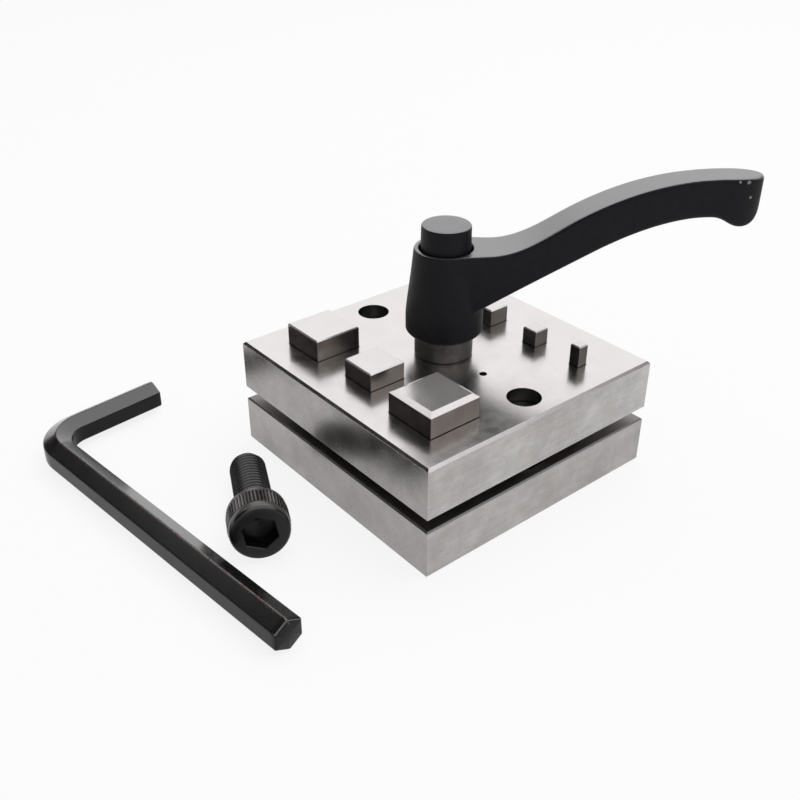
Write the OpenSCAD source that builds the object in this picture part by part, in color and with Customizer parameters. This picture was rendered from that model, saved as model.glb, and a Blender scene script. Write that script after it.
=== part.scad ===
// Square disc cutter: two ground steel plates clamped on a sheet by an adjustable hand lever.
// Seven square punches slide through both plates. A spare clamp screw and its hex key lie beside it.
// Origin: centre of the die plate's bottom face. +X and +Y follow the plate's edges, +Z is up.

/* [Plates] */
// Side of the square plates
plate_w = 80; // [76:0.5:100]
// Thickness of the lower plate, which holds the dies
die_t = 14; // [13:0.5:20]
// Thickness of the upper plate, which guides the punches
guide_t = 15; // [10:0.5:20]
// Gap between the plates, where the sheet goes
sheet_gap = 3.4; // [3.2:0.1:6]
// Chamfer round the top edges of the guide plate
top_chamfer = 0.7; // [0.2:0.1:1.5]
// Chamfer round the other edges of both plates
edge_chamfer = 0.4; // [0.2:0.1:1]
// Diameter of the small hole in front of the clamp
small_hole_d = 2.1; // [1:0.1:3]
// Distance of the small hole from the clamp axis
small_hole_y = 16; // [14:0.5:20]

/* [Punches] */
// Side of the first punch in the small row, from the front
small_side_1 = 3.2; // [2:0.1:10]
// Side of the second punch in the small row
small_side_2 = 4.8; // [2:0.1:10]
// Side of the third punch in the small row
small_side_3 = 6.4; // [2:0.1:10]
// Side of the fourth punch in the small row
small_side_4 = 9.5; // [2:0.1:10]
// Height of the first small punch above the guide plate
small_proud_1 = 6.2; // [3:0.1:8]
// Height of the second small punch above the guide plate
small_proud_2 = 4.8; // [3:0.1:8]
// Height of the third small punch above the guide plate
small_proud_3 = 5.1; // [3:0.1:8]
// Height of the fourth small punch above the guide plate
small_proud_4 = 5; // [3:0.1:8]
// Distance of the small row's ends from the edges of the plates
small_row_end = 10.05; // [8:0.05:14]
// Side of the first punch in the large row, from the front
large_side_1 = 16; // [10:0.1:18]
// Side of the second punch in the large row
large_side_2 = 11.1; // [10:0.1:18]
// Side of the third punch in the large row
large_side_3 = 14; // [10:0.1:18]
// Height of the first large punch above the guide plate
large_proud_1 = 6.8; // [3:0.1:8]
// Height of the second large punch above the guide plate
large_proud_2 = 5.2; // [3:0.1:8]
// Height of the third large punch above the guide plate
large_proud_3 = 6.3; // [3:0.1:8]
// Distance of the large row's ends from the edges of the plates
large_row_end = 9.15; // [7:0.05:12]
// Distance of each row's middle line from the edge of the plates
row_edge = 16.6; // [14:0.1:17]
// Width of the bevel round the top of the largest punch
big_bevel_w = 1.4; // [0.4:0.1:2]
// Height of the bevel round the top of the largest punch
big_bevel_h = 0.9; // [0.4:0.1:2]
// Chamfer round the top of the other punches
punch_chamfer = 0.3; // [0.1:0.1:0.5]
// Height of the punch ends above the bench
punch_foot = 0.3; // [0.1:0.1:1]

/* [Guide pins] */
// Diameter of the two guide pins
pin_d = 9; // [6:0.5:9]
// Distance of each pin from the edge of the plates
pin_edge = 8.8; // [8:0.1:9.5]
// Depth of the pin tops below the top of the guide plate
pin_sunk = 4; // [3.5:0.1:6]
// Height of the pins' lower ends above the bench
pin_foot = 0.5; // [0.2:0.1:2]
// Bevel at both ends of the pins
pin_bevel = 0.5; // [0.2:0.1:1]
// Depth of the spring pockets in the die plate
pocket_depth = 6; // [5:0.5:8]
// Wire diameter of the lift springs
lift_wire = 1; // [0.6:0.1:1.1]
// Turns of the lift springs
lift_turns = 3.5; // [3:0.5:4]

/* [Clamp] */
// Diameter of the clamp stud
stud_d = 10; // [8:0.5:10]
// Length of the stud inside the insert
stud_grip = 8; // [6:0.5:8.5]
// Height of the stud's lower end above the bench
stud_foot = 7; // [6.5:0.1:8]
// Bevel at the stud's lower end
stud_bevel = 1; // [0.4:0.1:1.5]
// Solid floor under the tapped hole in the die plate
tapped_floor = 3; // [2:0.1:3.4]
// Diameter of the insert's collar
collar_d = 16; // [15:0.1:17]
// Bevel round the foot of the collar
collar_bevel = 0.6; // [0.2:0.1:1]
// Height of the collar that shows under the hub
collar_show = 7; // [6:0.1:9]
// Height of the collar inside the hub
collar_hidden = 3.5; // [2:0.1:5]
// Number of index teeth on the insert
teeth = 16; // [12:1:24]
// Height of the index teeth
teeth_h = 3.5; // [2:0.1:4]
// Step from the collar down to the tips of the teeth
teeth_step = 0.6; // [0.4:0.1:0.8]
// Radial depth of the index teeth
teeth_depth = 1.2; // [0.6:0.1:1.5]
// Diameter of the retaining screw
keeper_d = 6; // [5:0.5:6]
// Height of the retaining screw's head
keeper_head_h = 3.5; // [2.5:0.1:4]
// Width across flats of the retaining screw's socket
drive_af = 4; // [3:0.5:5]
// Depth of the retaining screw's socket
drive_depth = 2; // [1:0.1:2.2]
// Wire diameter of the index spring
index_wire = 1; // [0.6:0.1:1]
// Turns of the index spring
index_turns = 4; // [3:0.5:4]

/* [Button] */
// Gap round the button in the hub's recess
button_play = 0.7; // [0.4:0.05:0.9]
// Height of the button above the hub
button_proud = 6.3; // [4:0.1:8]
// Depth of the button inside the hub
button_sunk = 3.5; // [2:0.1:4]
// Wall of the button's skirt
button_wall = 1.2; // [0.8:0.1:1.5]
// Bevel round the top of the button
button_bevel = 0.4; // [0.2:0.1:1]

/* [Lever] */
// Direction of the arm, seen from above, from +X
lever_azimuth = -38.5; // [-45:0.5:-35]
// Distance from the clamp axis to the tip of the arm
lever_reach = 79.6; // [72:0.1:90]
// Height from the underside of the hub to the top of the arm
lever_rise = 43.6; // [40:0.1:46]
// Height of the hub
hub_h = 24.1; // [22:0.1:26]
// Diameter of the hub at its foot
hub_d = 21; // [20:0.1:24]
// Diameter of the hub at its top
hub_top_d = 17; // [16.6:0.1:18]
// Bevel round the hub's foot; its top has half of it
hub_bevel = 0.8; // [0.4:0.1:1.2]
// Height of the hub's straight foot
hub_foot_h = 4.5; // [2:0.1:8]
// Wall of the hub round the button's recess
hub_wall = 1.3; // [1.1:0.1:1.4]
// Thickness of the web that carries the index spring
web_t = 3.7; // [3:0.1:4.5]
// Width of the arm along the grip
arm_w = 9.8; // [8:0.1:12]
// Distance of the straight grip's start from the tip
grip_back = 17.6; // [14:0.1:24]
// How much wider the arm is at its knee, on each side
arm_swell = 1.1; // [0.4:0.05:1.6]
// Step from the hub's top edge to the side of the arm
arm_side_step = 0.2; // [0.1:0.05:0.4]
// Length of the level stretch on top, from the axis
arm_level = 11; // [9:0.1:13]
// Distance of the arm's steepest place from the axis
knee_x = 33.6; // [28:0.1:36]
// Height of the arm's top at its steepest place, above the foot of the hub
knee_z = 33.9; // [30:0.1:36]
// Rise of the arm for each unit of length at its steepest place
knee_slope = 0.55; // [0.4:0.01:0.7]
// Distance inside the hub's foot where the underside of the arm starts
root_inset = 4.5; // [3:0.1:6]
// Distance by which the underside's steep stretch runs on past the top's
knee_lag = 3.6; // [2:0.1:8]
// Height at which the underside of the arm leaves the hub
root_z = 7.1; // [4:0.1:9]
// Depth of the arm at its neck
neck_depth = 10.2; // [8:0.1:12]
// Depth of the hooked tip
tip_depth = 12.9; // [12:0.1:16]
// Width of the tip's round corners, seen from above
tip_r = 4.4; // [2:0.1:5]
// Length of the tip's round corners, seen from above
tip_l = 8; // [2:0.1:10]
// Bevel along the top of the tip
tip_bevel = 0.8; // [0.4:0.1:2]
// Distance of the highest place from the tip
crest_back = 9.6; // [4:0.1:12]
// Distance of the neck from the tip
neck_back = 12.9; // [11:0.1:16]
// Distance of the hook's lowest place from the tip
hook_back = 4.5; // [3:0.1:6]
// Height of the hook's round corner
hook_round = 5.5; // [3.5:0.1:7]

/* [Loose clamp screw] */
// Nominal diameter of the screw
screw_d = 10; // [8:0.5:10]
// Length under the head
screw_l = 25; // [20:1:35]
// Diameter of the head
screw_head_d = 16; // [14:0.5:18]
// Height of the head
screw_head_h = 10; // [8:0.5:12]
// Width across flats of the socket
socket_af = 8; // [6:0.5:8]
// Depth of the socket
socket_depth = 5; // [4:0.5:6]
// Length of the plain neck under the head
screw_neck = 2.5; // [1:0.1:4]
// Depth of the neck below the thread's outside
screw_neck_step = 0.4; // [0.2:0.1:0.8]
// Chamfer at the end of the thread
screw_chamfer = 0.9; // [0.5:0.1:1.5]
// Bevel round the face of the head
screw_bevel = 0.6; // [0.3:0.1:1]
// Turn of the socket about the screw's axis
screw_roll = 50; // [0:1:60]
// Distance of the screw from the edge of the plates
screw_off = 23.8; // [20:0.1:40]
// Place of the screw along the edge of the plates
screw_y = -1.5; // [-20:0.5:20]
// Direction of the screw, from its head to its end
screw_yaw = 63.9; // [50:0.1:80]

/* [Hex key] */
// Width across flats of the key
key_af = 8; // [6:0.5:8]
// Length of the long arm, from the corner of the middle lines
key_long = 108.8; // [90:0.1:120]
// Length of the short arm, from the corner of the middle lines
key_short = 37; // [32:0.1:50]
// Radius of the bend, on the middle line
key_bend_r = 10.5; // [7:0.1:14]
// Distance of the key's bend from the edge of the plates
key_off = 50.6; // [45:0.1:70]
// Place of the key's bend along the edge of the plates
key_y = 69.6; // [50:0.1:90]
// Direction of the long arm
key_yaw = -84; // [-95:0.1:-75]

/* [Fits] */
// Radial clearance of round running fits
run_clear = 0.06; // [0.03:0.01:0.1]
// Clearance on each side of a punch
punch_clear = 0.05; // [0.02:0.01:0.1]
// Gap between faces that rest on each other but belong to moving bodies
face_gap = 0.05; // [0.02:0.01:0.1]
// Axial and loose gap inside the hub
hub_gap = 0.3; // [0.2:0.05:0.4]
// Gap on each side of a spring's wire
spring_gap = 0.4; // [0.3:0.05:0.4]
// Radial clearance of the index teeth
teeth_clear = 0.15; // [0.1:0.01:0.2]

/* [Hidden] */
$fn = 64;
// Small overlap that lets a cut pass its face
eps = 0.5;

PUNCH_NODES = ["punch_3mm", "punch_5mm", "punch_6mm", "punch_9mm", "punch_16mm", "punch_11mm", "punch_14mm"];

// Corner radius of a hexagon from its width across flats
function hex_r(af) = af / 2 / cos(30);

// Heights of the stack
guide_z = die_t + sheet_gap;
stack_h = guide_z + guide_t;

// Punch rows: every punch is [side, proud, x, y, bevel]
function sum_to(v, n) = n == 0 ? 0 : v[n - 1] + sum_to(v, n - 1);
function row_gap(sides, end) = (plate_w - 2 * end - sum_to(sides, len(sides))) / (len(sides) - 1);
function row_start(sides, gap) = -(sum_to(sides, len(sides)) + gap * (len(sides) - 1)) / 2;
function row_y(sides, gap, i) = row_start(sides, gap) + sum_to(sides, i) + gap * i + sides[i] / 2;
function top_bevel_of(side) =
    side == max(large_sides) ? [big_bevel_w, big_bevel_h] : [punch_chamfer, punch_chamfer];
function row(sides, proud, gap, x) =
    [for (i = [0:len(sides) - 1]) [sides[i], proud[i], x, row_y(sides, gap, i), top_bevel_of(sides[i])]];
row_x = plate_w / 2 - row_edge;
small_sides = [small_side_1, small_side_2, small_side_3, small_side_4];
small_proud = [small_proud_1, small_proud_2, small_proud_3, small_proud_4];
large_sides = [large_side_1, large_side_2, large_side_3];
large_proud = [large_proud_1, large_proud_2, large_proud_3];
PUNCHES = concat(row(small_sides, small_proud, row_gap(small_sides, small_row_end), row_x),
                 row(large_sides, large_proud, row_gap(large_sides, large_row_end), -row_x));

// Guide pins and lift springs
pin_y = plate_w / 2 - pin_edge;
pin_top_z = stack_h - pin_sunk;
pocket_z = die_t - pocket_depth;
lift_mean_r = pin_d / 2 + spring_gap + lift_wire / 2;
pocket_r = lift_mean_r + lift_wire / 2 + spring_gap;

// Clamp stack inside the hub, from the guide plate upwards
insert_z = stack_h + face_gap;
hub_z = stack_h + collar_show;
teeth_z = hub_z + collar_hidden;
insert_top_z = teeth_z + teeth_h;
web_z = insert_top_z + hub_gap;
seat_z = web_z + web_t;
hub_top_z = hub_z + hub_h;
keeper_z = hub_top_z - button_sunk;
button_top_z = hub_top_z + button_proud;
stud_top_z = insert_z + stud_grip;
keeper_foot_z = stud_top_z + hub_gap;
tooth_tip_r = collar_d / 2 - teeth_step;
tooth_root_r = tooth_tip_r - teeth_depth;
recess_r = hub_top_d / 2 - hub_wall;
button_r = recess_r - button_play;
keeper_head_r = button_r - button_wall;
index_mean_r = keeper_head_r - index_wire / 2 - hub_gap;
stud_hole_r = stud_d / 2 + hub_gap;

// Lever: points of the side view, x along the arm and y up from the foot of the hub
crest_x = lever_reach - crest_back;
neck_x = lever_reach - neck_back;
hook_x = lever_reach - hook_back;
neck_z = lever_rise - neck_depth;
hook_z = lever_rise - tip_depth;
tip_z = hook_z + hook_round;
root_x = hub_d / 2 - root_inset;
under_x = knee_x + knee_lag;
under_z = root_z + (under_x - root_x) * knee_slope;
curve_steps = 10;

function bezier(a, b, c, d, n) =
    [for (i = [0:n]) let (t = i / n, u = 1 - t) u*u*u*a + 3*u*u*t*b + 3*u*t*t*c + t*t*t*d];

// Curve from a to d with the given slopes there, and handles as shares of its run
function slope_curve(a, slope_a, share_a, d, slope_d, share_d, n = curve_steps) =
    let (run = d[0] - a[0])
    bezier(a, a + share_a * run * [1, slope_a], d - share_d * run * [1, slope_d], d, n);

function backwards(v) = [for (i = [len(v) - 1:-1:0]) v[i]];

arm_top = concat(
    slope_curve([arm_level, hub_h], 0, 0.4, [knee_x, knee_z], knee_slope, 0.3),
    slope_curve([knee_x, knee_z], knee_slope, 0.3, [crest_x, lever_rise], 0, 0.38));
arm_under = concat(
    [[root_x, root_z]],
    slope_curve([under_x, under_z], knee_slope, 0.32, [neck_x, neck_z], 0, 0.34),
    slope_curve([neck_x, neck_z], 0, 0.45, [hook_x, hook_z], 0, 0.45),
    bezier([hook_x, hook_z], [hook_x + 0.65 * hook_back, hook_z], [lever_reach, tip_z - 0.65 * hook_round],
           [lever_reach, tip_z], 6));
function distinct(v) = [for (i = [0:len(v) - 1]) if (i == 0 || norm(v[i] - v[max(i - 1, 0)]) > 0.01) v[i]];
arm_side = distinct(concat(
    [[0, root_z], [0, hub_h]],
    arm_top,
    [[lever_reach - tip_bevel, lever_rise], [lever_reach, lever_rise - tip_bevel]],
    backwards(arm_under)));

// Half of the arm seen from above
grip_x = lever_reach - grip_back;
tip_corner = min(tip_r, arm_w / 2 - eps);
arm_half = concat(
    bezier([0, hub_top_d / 2 - arm_side_step], [0.27 * grip_x, arm_w / 2 + arm_swell],
           [0.6 * grip_x, arm_w / 2 + arm_swell], [grip_x, arm_w / 2], 12),
    [for (a = [90:-15:0])
        [lever_reach + tip_l * (cos(a) - 1), arm_w / 2 + tip_corner * (sin(a) - 1)]]);
arm_plan = concat(arm_half, [for (p = backwards(arm_half)) [p[0], -p[1]]]);

// Loose screw and key
screw_tilt = atan((screw_head_d - screw_d) / 2 / screw_l);
key_r = hex_r(key_af);

// Square block with bevelled top and bottom edges, standing on z = 0; top is [width, height] of its bevel
function edge_profile(w, t, top, bottom) = concat(
    bottom > 0 ? [[bottom - w / 2, 0], [w / 2 - bottom, 0], [w / 2, bottom]] : [[-w / 2, 0], [w / 2, 0]],
    [[w / 2, t - top[1]], [w / 2 - top[0], t], [top[0] - w / 2, t], [-w / 2, t - top[1]]],
    bottom > 0 ? [[-w / 2, bottom]] : []);
module chamfered_block(w, t, top, bottom) {
    outline = edge_profile(w, t, top, bottom);
    intersection() {
        rotate([90, 0, 0]) linear_extrude(w + 2 * eps, center = true) polygon(outline);
        rotate([90, 0, 90]) linear_extrude(w + 2 * eps, center = true) polygon(outline);
    }
}

// Square holes for all punches through a plate from z = 0 to z = t
module punch_holes(t) {
    for (p = PUNCHES) {
        hole = p[0] + 2 * punch_clear;
        translate([p[2] - hole / 2, p[3] - hole / 2, -eps]) cube([hole, hole, t + 2 * eps]);
    }
}

// Copies of its children at the two guide pins
module at_pins() {
    for (side = [-1, 1]) translate([0, side * pin_y, 0]) children();
}

// Upright helical spring: one unbroken tube with short straight ends
spring_rings = 8;
spring_sides = 6;
function coil_centre(i, r, z0, rise, turns) =
    let (n = turns * spring_rings, k = min(max(i, 0), n), a = k * 360 / spring_rings)
    [r * cos(a), r * sin(a), z0 + rise * k / n];
function coil_tangent(i, r, rise, turns) =
    let (n = turns * spring_rings, k = min(max(i, 0), n), a = k * 360 / spring_rings)
    let (t = [-r * sin(a), r * cos(a), rise / (turns * 2 * PI)]) t / norm(t);
function coil_ring(i, r, z0, rise, turns, wire) =
    let (n = turns * spring_rings, k = min(max(i, 0), n), a = k * 360 / spring_rings)
    let (t = coil_tangent(i, r, rise, turns), out = [cos(a), sin(a), 0], up = cross(out, t))
    let (c = coil_centre(i, r, z0, rise, turns) + (i - k) * wire * t)
    [for (s = [0:spring_sides - 1])
        let (b = s * 360 / spring_sides) c + wire / 2 * (cos(b) * out + sin(b) * up)];
function coil_gap(r, z0, rise, turns, wire) =
    let (n = turns * spring_rings, c = [for (i = [0:n]) coil_centre(i, r, z0, rise, turns)])
    min([for (i = [0:n - spring_rings / 2]) for (j = [i + spring_rings / 2:n]) norm(c[i] - c[j])]) - wire;

module coil_spring(r, wire, z_low, z_high, turns) {
    n = turns * spring_rings;
    z0 = z_low + wire / 2 + 2 * face_gap;
    rise = z_high - z_low - wire - 4 * face_gap;
    m = spring_sides;
    rings = [for (i = [-1:n + 1]) coil_ring(i, r, z0, rise, turns, wire)];
    last = len(rings) - 1;
    points = [for (ring = rings) for (p = ring) p];
    walls = [for (i = [0:last - 1]) for (s = [0:m - 1])
        let (a = i * m + s, b = i * m + (s + 1) % m, c = a + m, d = b + m)
        for (f = [[a, c, b], [b, c, d]]) f];
    caps = [for (s = [1:m - 2]) for (f = [[0, s, s + 1], [last * m, last * m + s + 1, last * m + s]]) f];
    echo(least_gap_between_turns = coil_gap(r, z0, rise, turns, wire));
    polyhedron(points, concat(walls, caps));
}

// Outline of the index teeth, drawn bigger by grow for the hollow that takes them
module teeth_outline(grow) {
    polygon([for (i = [0:2 * teeth - 1])
        let (r = (i % 2 == 0 ? tooth_tip_r : tooth_root_r) + grow)
        r * [cos(i * 180 / teeth), sin(i * 180 / teeth)]]);
}

// Lower plate: dies, spring pockets, pressed pins and the tapped hole of the clamp
module die_plate() color([0.74, 0.74, 0.73]) {
    difference() {
        chamfered_block(plate_w, die_t, [edge_chamfer, edge_chamfer], edge_chamfer);
        punch_holes(die_t);
        translate([0, 0, tapped_floor]) cylinder(d = stud_d + 2 * run_clear, h = die_t - tapped_floor + eps);
        at_pins() {
            translate([0, 0, -eps]) cylinder(d = pin_d, h = die_t + 2 * eps);
            translate([0, 0, pocket_z]) cylinder(r = pocket_r, h = pocket_depth + eps);
        }
    }
}

// Upper plate: guides the punches and presses on the sheet
module guide_plate() color([0.82, 0.82, 0.81]) {
    translate([0, 0, guide_z]) difference() {
        chamfered_block(plate_w, guide_t, [top_chamfer, top_chamfer], edge_chamfer);
        punch_holes(guide_t);
        translate([0, 0, -eps]) cylinder(r = stud_hole_r, h = guide_t + 2 * eps);
        at_pins() translate([0, 0, -eps]) cylinder(d = pin_d + 2 * run_clear, h = guide_t + 2 * eps);
        translate([0, -small_hole_y, -eps]) cylinder(d = small_hole_d, h = guide_t + 2 * eps);
    }
}

// Hardened pin, pressed into the die plate, with a bevel at each end
module guide_pin(side) color([0.35, 0.35, 0.36]) {
    r = pin_d / 2;
    translate([0, side * pin_y, 0]) rotate_extrude()
        polygon([[0, pin_foot], [r - pin_bevel, pin_foot], [r, pin_foot + pin_bevel],
                 [r, pin_top_z - pin_bevel], [r - pin_bevel, pin_top_z], [0, pin_top_z]]);
}

// Spring round a guide pin, from the pocket's floor to the guide plate
module lift_spring(side) color([0.45, 0.45, 0.46]) {
    translate([0, side * pin_y, 0]) coil_spring(lift_mean_r, lift_wire, pocket_z, guide_z, lift_turns);
}

// Square punch with a sharp lower end and a chamfered top
module punch(p) color([0.62, 0.61, 0.59]) {
    translate([p[2], p[3], punch_foot]) chamfered_block(p[0], stack_h + p[1] - punch_foot, p[4], 0);
}

// Threaded rod of the clamp, pressed into the insert
module clamp_stud() color([0.33, 0.33, 0.34]) {
    r = stud_d / 2;
    rotate_extrude()
        polygon([[0, stud_foot], [r - stud_bevel, stud_foot], [r, stud_foot + stud_bevel],
                 [r, stud_top_z], [0, stud_top_z]]);
}

// Steel insert: collar below the hub and index teeth inside it
module clamp_insert() color([0.36, 0.36, 0.35]) {
    r = collar_d / 2;
    difference() {
        union() {
            rotate_extrude()
                polygon([[0, insert_z], [r - collar_bevel, insert_z], [r, insert_z + collar_bevel],
                         [r, teeth_z], [0, teeth_z]]);
            translate([0, 0, teeth_z - eps]) linear_extrude(teeth_h + eps) teeth_outline(0);
        }
        translate([0, 0, insert_z - eps]) cylinder(d = stud_d, h = stud_grip + eps);
        translate([0, 0, insert_z]) cylinder(d = keeper_d, h = insert_top_z - insert_z + eps);
    }
}

// Hub of the lever, solid
module hub_body() {
    r = hub_d / 2;
    top_r = hub_top_d / 2;
    top_bevel = hub_bevel / 2;
    taper_h = hub_h - hub_foot_h;
    waist = bezier([r, hub_foot_h], [r, hub_foot_h + 0.18 * taper_h],
                   [top_r + hub_bevel, hub_h - taper_h / 2], [top_r, hub_h - top_bevel], 8);
    rotate_extrude() polygon(concat(
        [[0, 0], [r - hub_bevel, 0], [r, hub_bevel]],
        waist,
        [[top_r - top_bevel, hub_h], [0, hub_h]]));
}

// Arm of the lever: the side view cut by the view from above
module arm_body() {
    intersection() {
        rotate([90, 0, 0]) linear_extrude(hub_d + arm_w, center = true) polygon(arm_side);
        linear_extrude(lever_rise + eps) polygon(arm_plan);
    }
}

// Cast lever with the hollow for the insert below and the recess for spring and button above
module lever() color([0.09, 0.09, 0.10]) {
    difference() {
        translate([0, 0, hub_z]) rotate([0, 0, lever_azimuth]) union() {
            hub_body();
            arm_body();
        }
        translate([0, 0, hub_z - eps])
            cylinder(d = collar_d + 2 * run_clear, h = teeth_z + hub_gap - hub_z + eps);
        translate([0, 0, teeth_z]) linear_extrude(web_z - teeth_z) teeth_outline(teeth_clear);
        translate([0, 0, web_z - eps]) cylinder(d = keeper_d + 2 * run_clear, h = web_t + 2 * eps);
        translate([0, 0, seat_z]) cylinder(r = recess_r, h = hub_top_z - seat_z + eps);
    }
}

// Screw that keeps the lever on the insert and carries the button
module retaining_screw() color([0.55, 0.55, 0.56]) {
    head_top_z = keeper_z + keeper_head_h;
    difference() {
        union() {
            translate([0, 0, keeper_foot_z]) cylinder(d = keeper_d, h = keeper_z - keeper_foot_z + eps);
            translate([0, 0, keeper_z]) cylinder(r = keeper_head_r, h = keeper_head_h);
        }
        translate([0, 0, head_top_z - drive_depth])
            cylinder(r = hex_r(drive_af), h = drive_depth + eps, $fn = 6);
    }
}

// Spring that holds the lever down on the index teeth
module index_spring() color([0.50, 0.50, 0.51]) {
    coil_spring(index_mean_r, index_wire, seat_z, keeper_z, index_turns);
}

// Cap that presses on the retaining screw's head
module push_button() color([0.11, 0.11, 0.12]) {
    r = button_r;
    head_top_z = keeper_z + keeper_head_h;
    rotate_extrude()
        polygon([[keeper_head_r, keeper_z], [r, keeper_z], [r, button_top_z - button_bevel],
                 [r - button_bevel, button_top_z], [0, button_top_z],
                 [0, head_top_z], [keeper_head_r, head_top_z]]);
}

// Socket head cap screw lying on the bench on its head's rim and its end
module cap_screw() color([0.10, 0.10, 0.10]) {
    r = screw_d / 2;
    head_r = screw_head_d / 2;
    neck_r = r - screw_neck_step;
    translate([-(plate_w / 2 + screw_off), screw_y, 0])
        rotate([0, 90 + screw_tilt, screw_yaw]) translate([-head_r, 0, 0]) difference() {
            rotate_extrude()
                polygon([[0, -screw_head_h], [head_r - screw_bevel, -screw_head_h],
                         [head_r, screw_bevel - screw_head_h], [head_r, 0], [neck_r, 0], [neck_r, screw_neck],
                         [r, screw_neck + r - neck_r], [r, screw_l - screw_chamfer],
                         [r - screw_chamfer, screw_l], [0, screw_l]]);
            rotate([0, 0, 180 + screw_roll]) translate([0, 0, -screw_head_h - eps])
                cylinder(r = hex_r(socket_af), h = socket_depth + eps, $fn = 6);
        }
}

// Hexagon of the key, standing on a corner
module key_section() {
    rotate(90) circle(r = key_r, $fn = 6);
}

// Hex key lying on the bench
module hex_key() color([0.10, 0.10, 0.10]) {
    translate([-(plate_w / 2 + key_off), key_y, key_r]) rotate([0, 0, key_yaw]) union() {
        translate([key_bend_r, 0, 0]) rotate([90, 0, 90]) linear_extrude(key_long - key_bend_r) key_section();
        translate([0, key_short, 0]) rotate([90, 0, 0]) linear_extrude(key_short - key_bend_r) key_section();
        translate([key_bend_r, key_bend_r, 0]) rotate([0, 0, 180])
            rotate_extrude(angle = 90) translate([key_bend_r, 0]) key_section();
    }
}

die_plate();
guide_plate();
guide_pin(-1);  // guide_pin_front
guide_pin(1);  // guide_pin_back
lift_spring(-1);  // lift_spring_front
lift_spring(1);  // lift_spring_back
for (i = [0:len(PUNCH_NODES) - 1]) punch(PUNCHES[i]);
clamp_stud();
clamp_insert();
lever();
retaining_screw();
index_spring();
push_button();
cap_screw();
hex_key();
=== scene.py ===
"""Looks of the square disc cutter: ground plates, black clamping lever, loose screw and hex key."""
import cmath
import logging
import math
from dataclasses import dataclass
from enum import Enum
from functools import reduce
from typing import Callable, NamedTuple, Sequence

import bpy
import numpy as np
from bpy.types import Material, Mesh, NodeOutputs, NodeSocket, NodeTree, Object
from mathutils import Matrix, Vector


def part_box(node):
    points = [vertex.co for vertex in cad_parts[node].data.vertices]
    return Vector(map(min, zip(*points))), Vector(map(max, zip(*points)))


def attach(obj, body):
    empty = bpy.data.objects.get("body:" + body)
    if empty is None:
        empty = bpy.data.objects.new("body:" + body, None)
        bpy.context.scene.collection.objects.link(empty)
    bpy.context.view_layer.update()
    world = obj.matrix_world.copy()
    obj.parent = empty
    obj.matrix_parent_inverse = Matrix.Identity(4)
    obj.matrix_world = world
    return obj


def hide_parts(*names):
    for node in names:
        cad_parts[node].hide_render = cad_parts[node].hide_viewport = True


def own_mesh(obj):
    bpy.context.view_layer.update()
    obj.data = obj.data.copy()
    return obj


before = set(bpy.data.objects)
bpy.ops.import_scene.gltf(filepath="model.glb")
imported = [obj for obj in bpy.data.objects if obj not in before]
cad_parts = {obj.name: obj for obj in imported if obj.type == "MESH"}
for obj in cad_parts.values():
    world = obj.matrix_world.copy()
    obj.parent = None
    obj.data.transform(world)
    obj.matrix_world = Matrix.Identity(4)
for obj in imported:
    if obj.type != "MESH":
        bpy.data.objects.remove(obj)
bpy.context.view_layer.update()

LOG = logging.getLogger("disc_cutter")
RUB = "rub"
MM = 0.001
FULL_TURN = 2 * math.pi
HOME = Matrix.Identity(4)
Colour = tuple[float, float, float]
Point = tuple[float, float, float]
Flat = tuple[float, float]
Ring = list[Point]


class Axis(Enum):
    """Direction in which fine lines run on a surface, as a stretch of the coordinates."""

    X = (0.04, 1.0, 1.0)
    Z = (1.0, 1.0, 0.04)
    ROUND = (0.02, 0.02, 1.0)


class End(Enum):
    """End of a spring."""

    FOOT = 0
    TOP = 1


class Ray(Enum):
    """Kinds of ray that see the plain white surroundings."""

    CAMERA = "Is Camera Ray"
    GLOSSY = "Is Glossy Ray"
    TRANSMISSION = "Is Transmission Ray"


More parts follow.
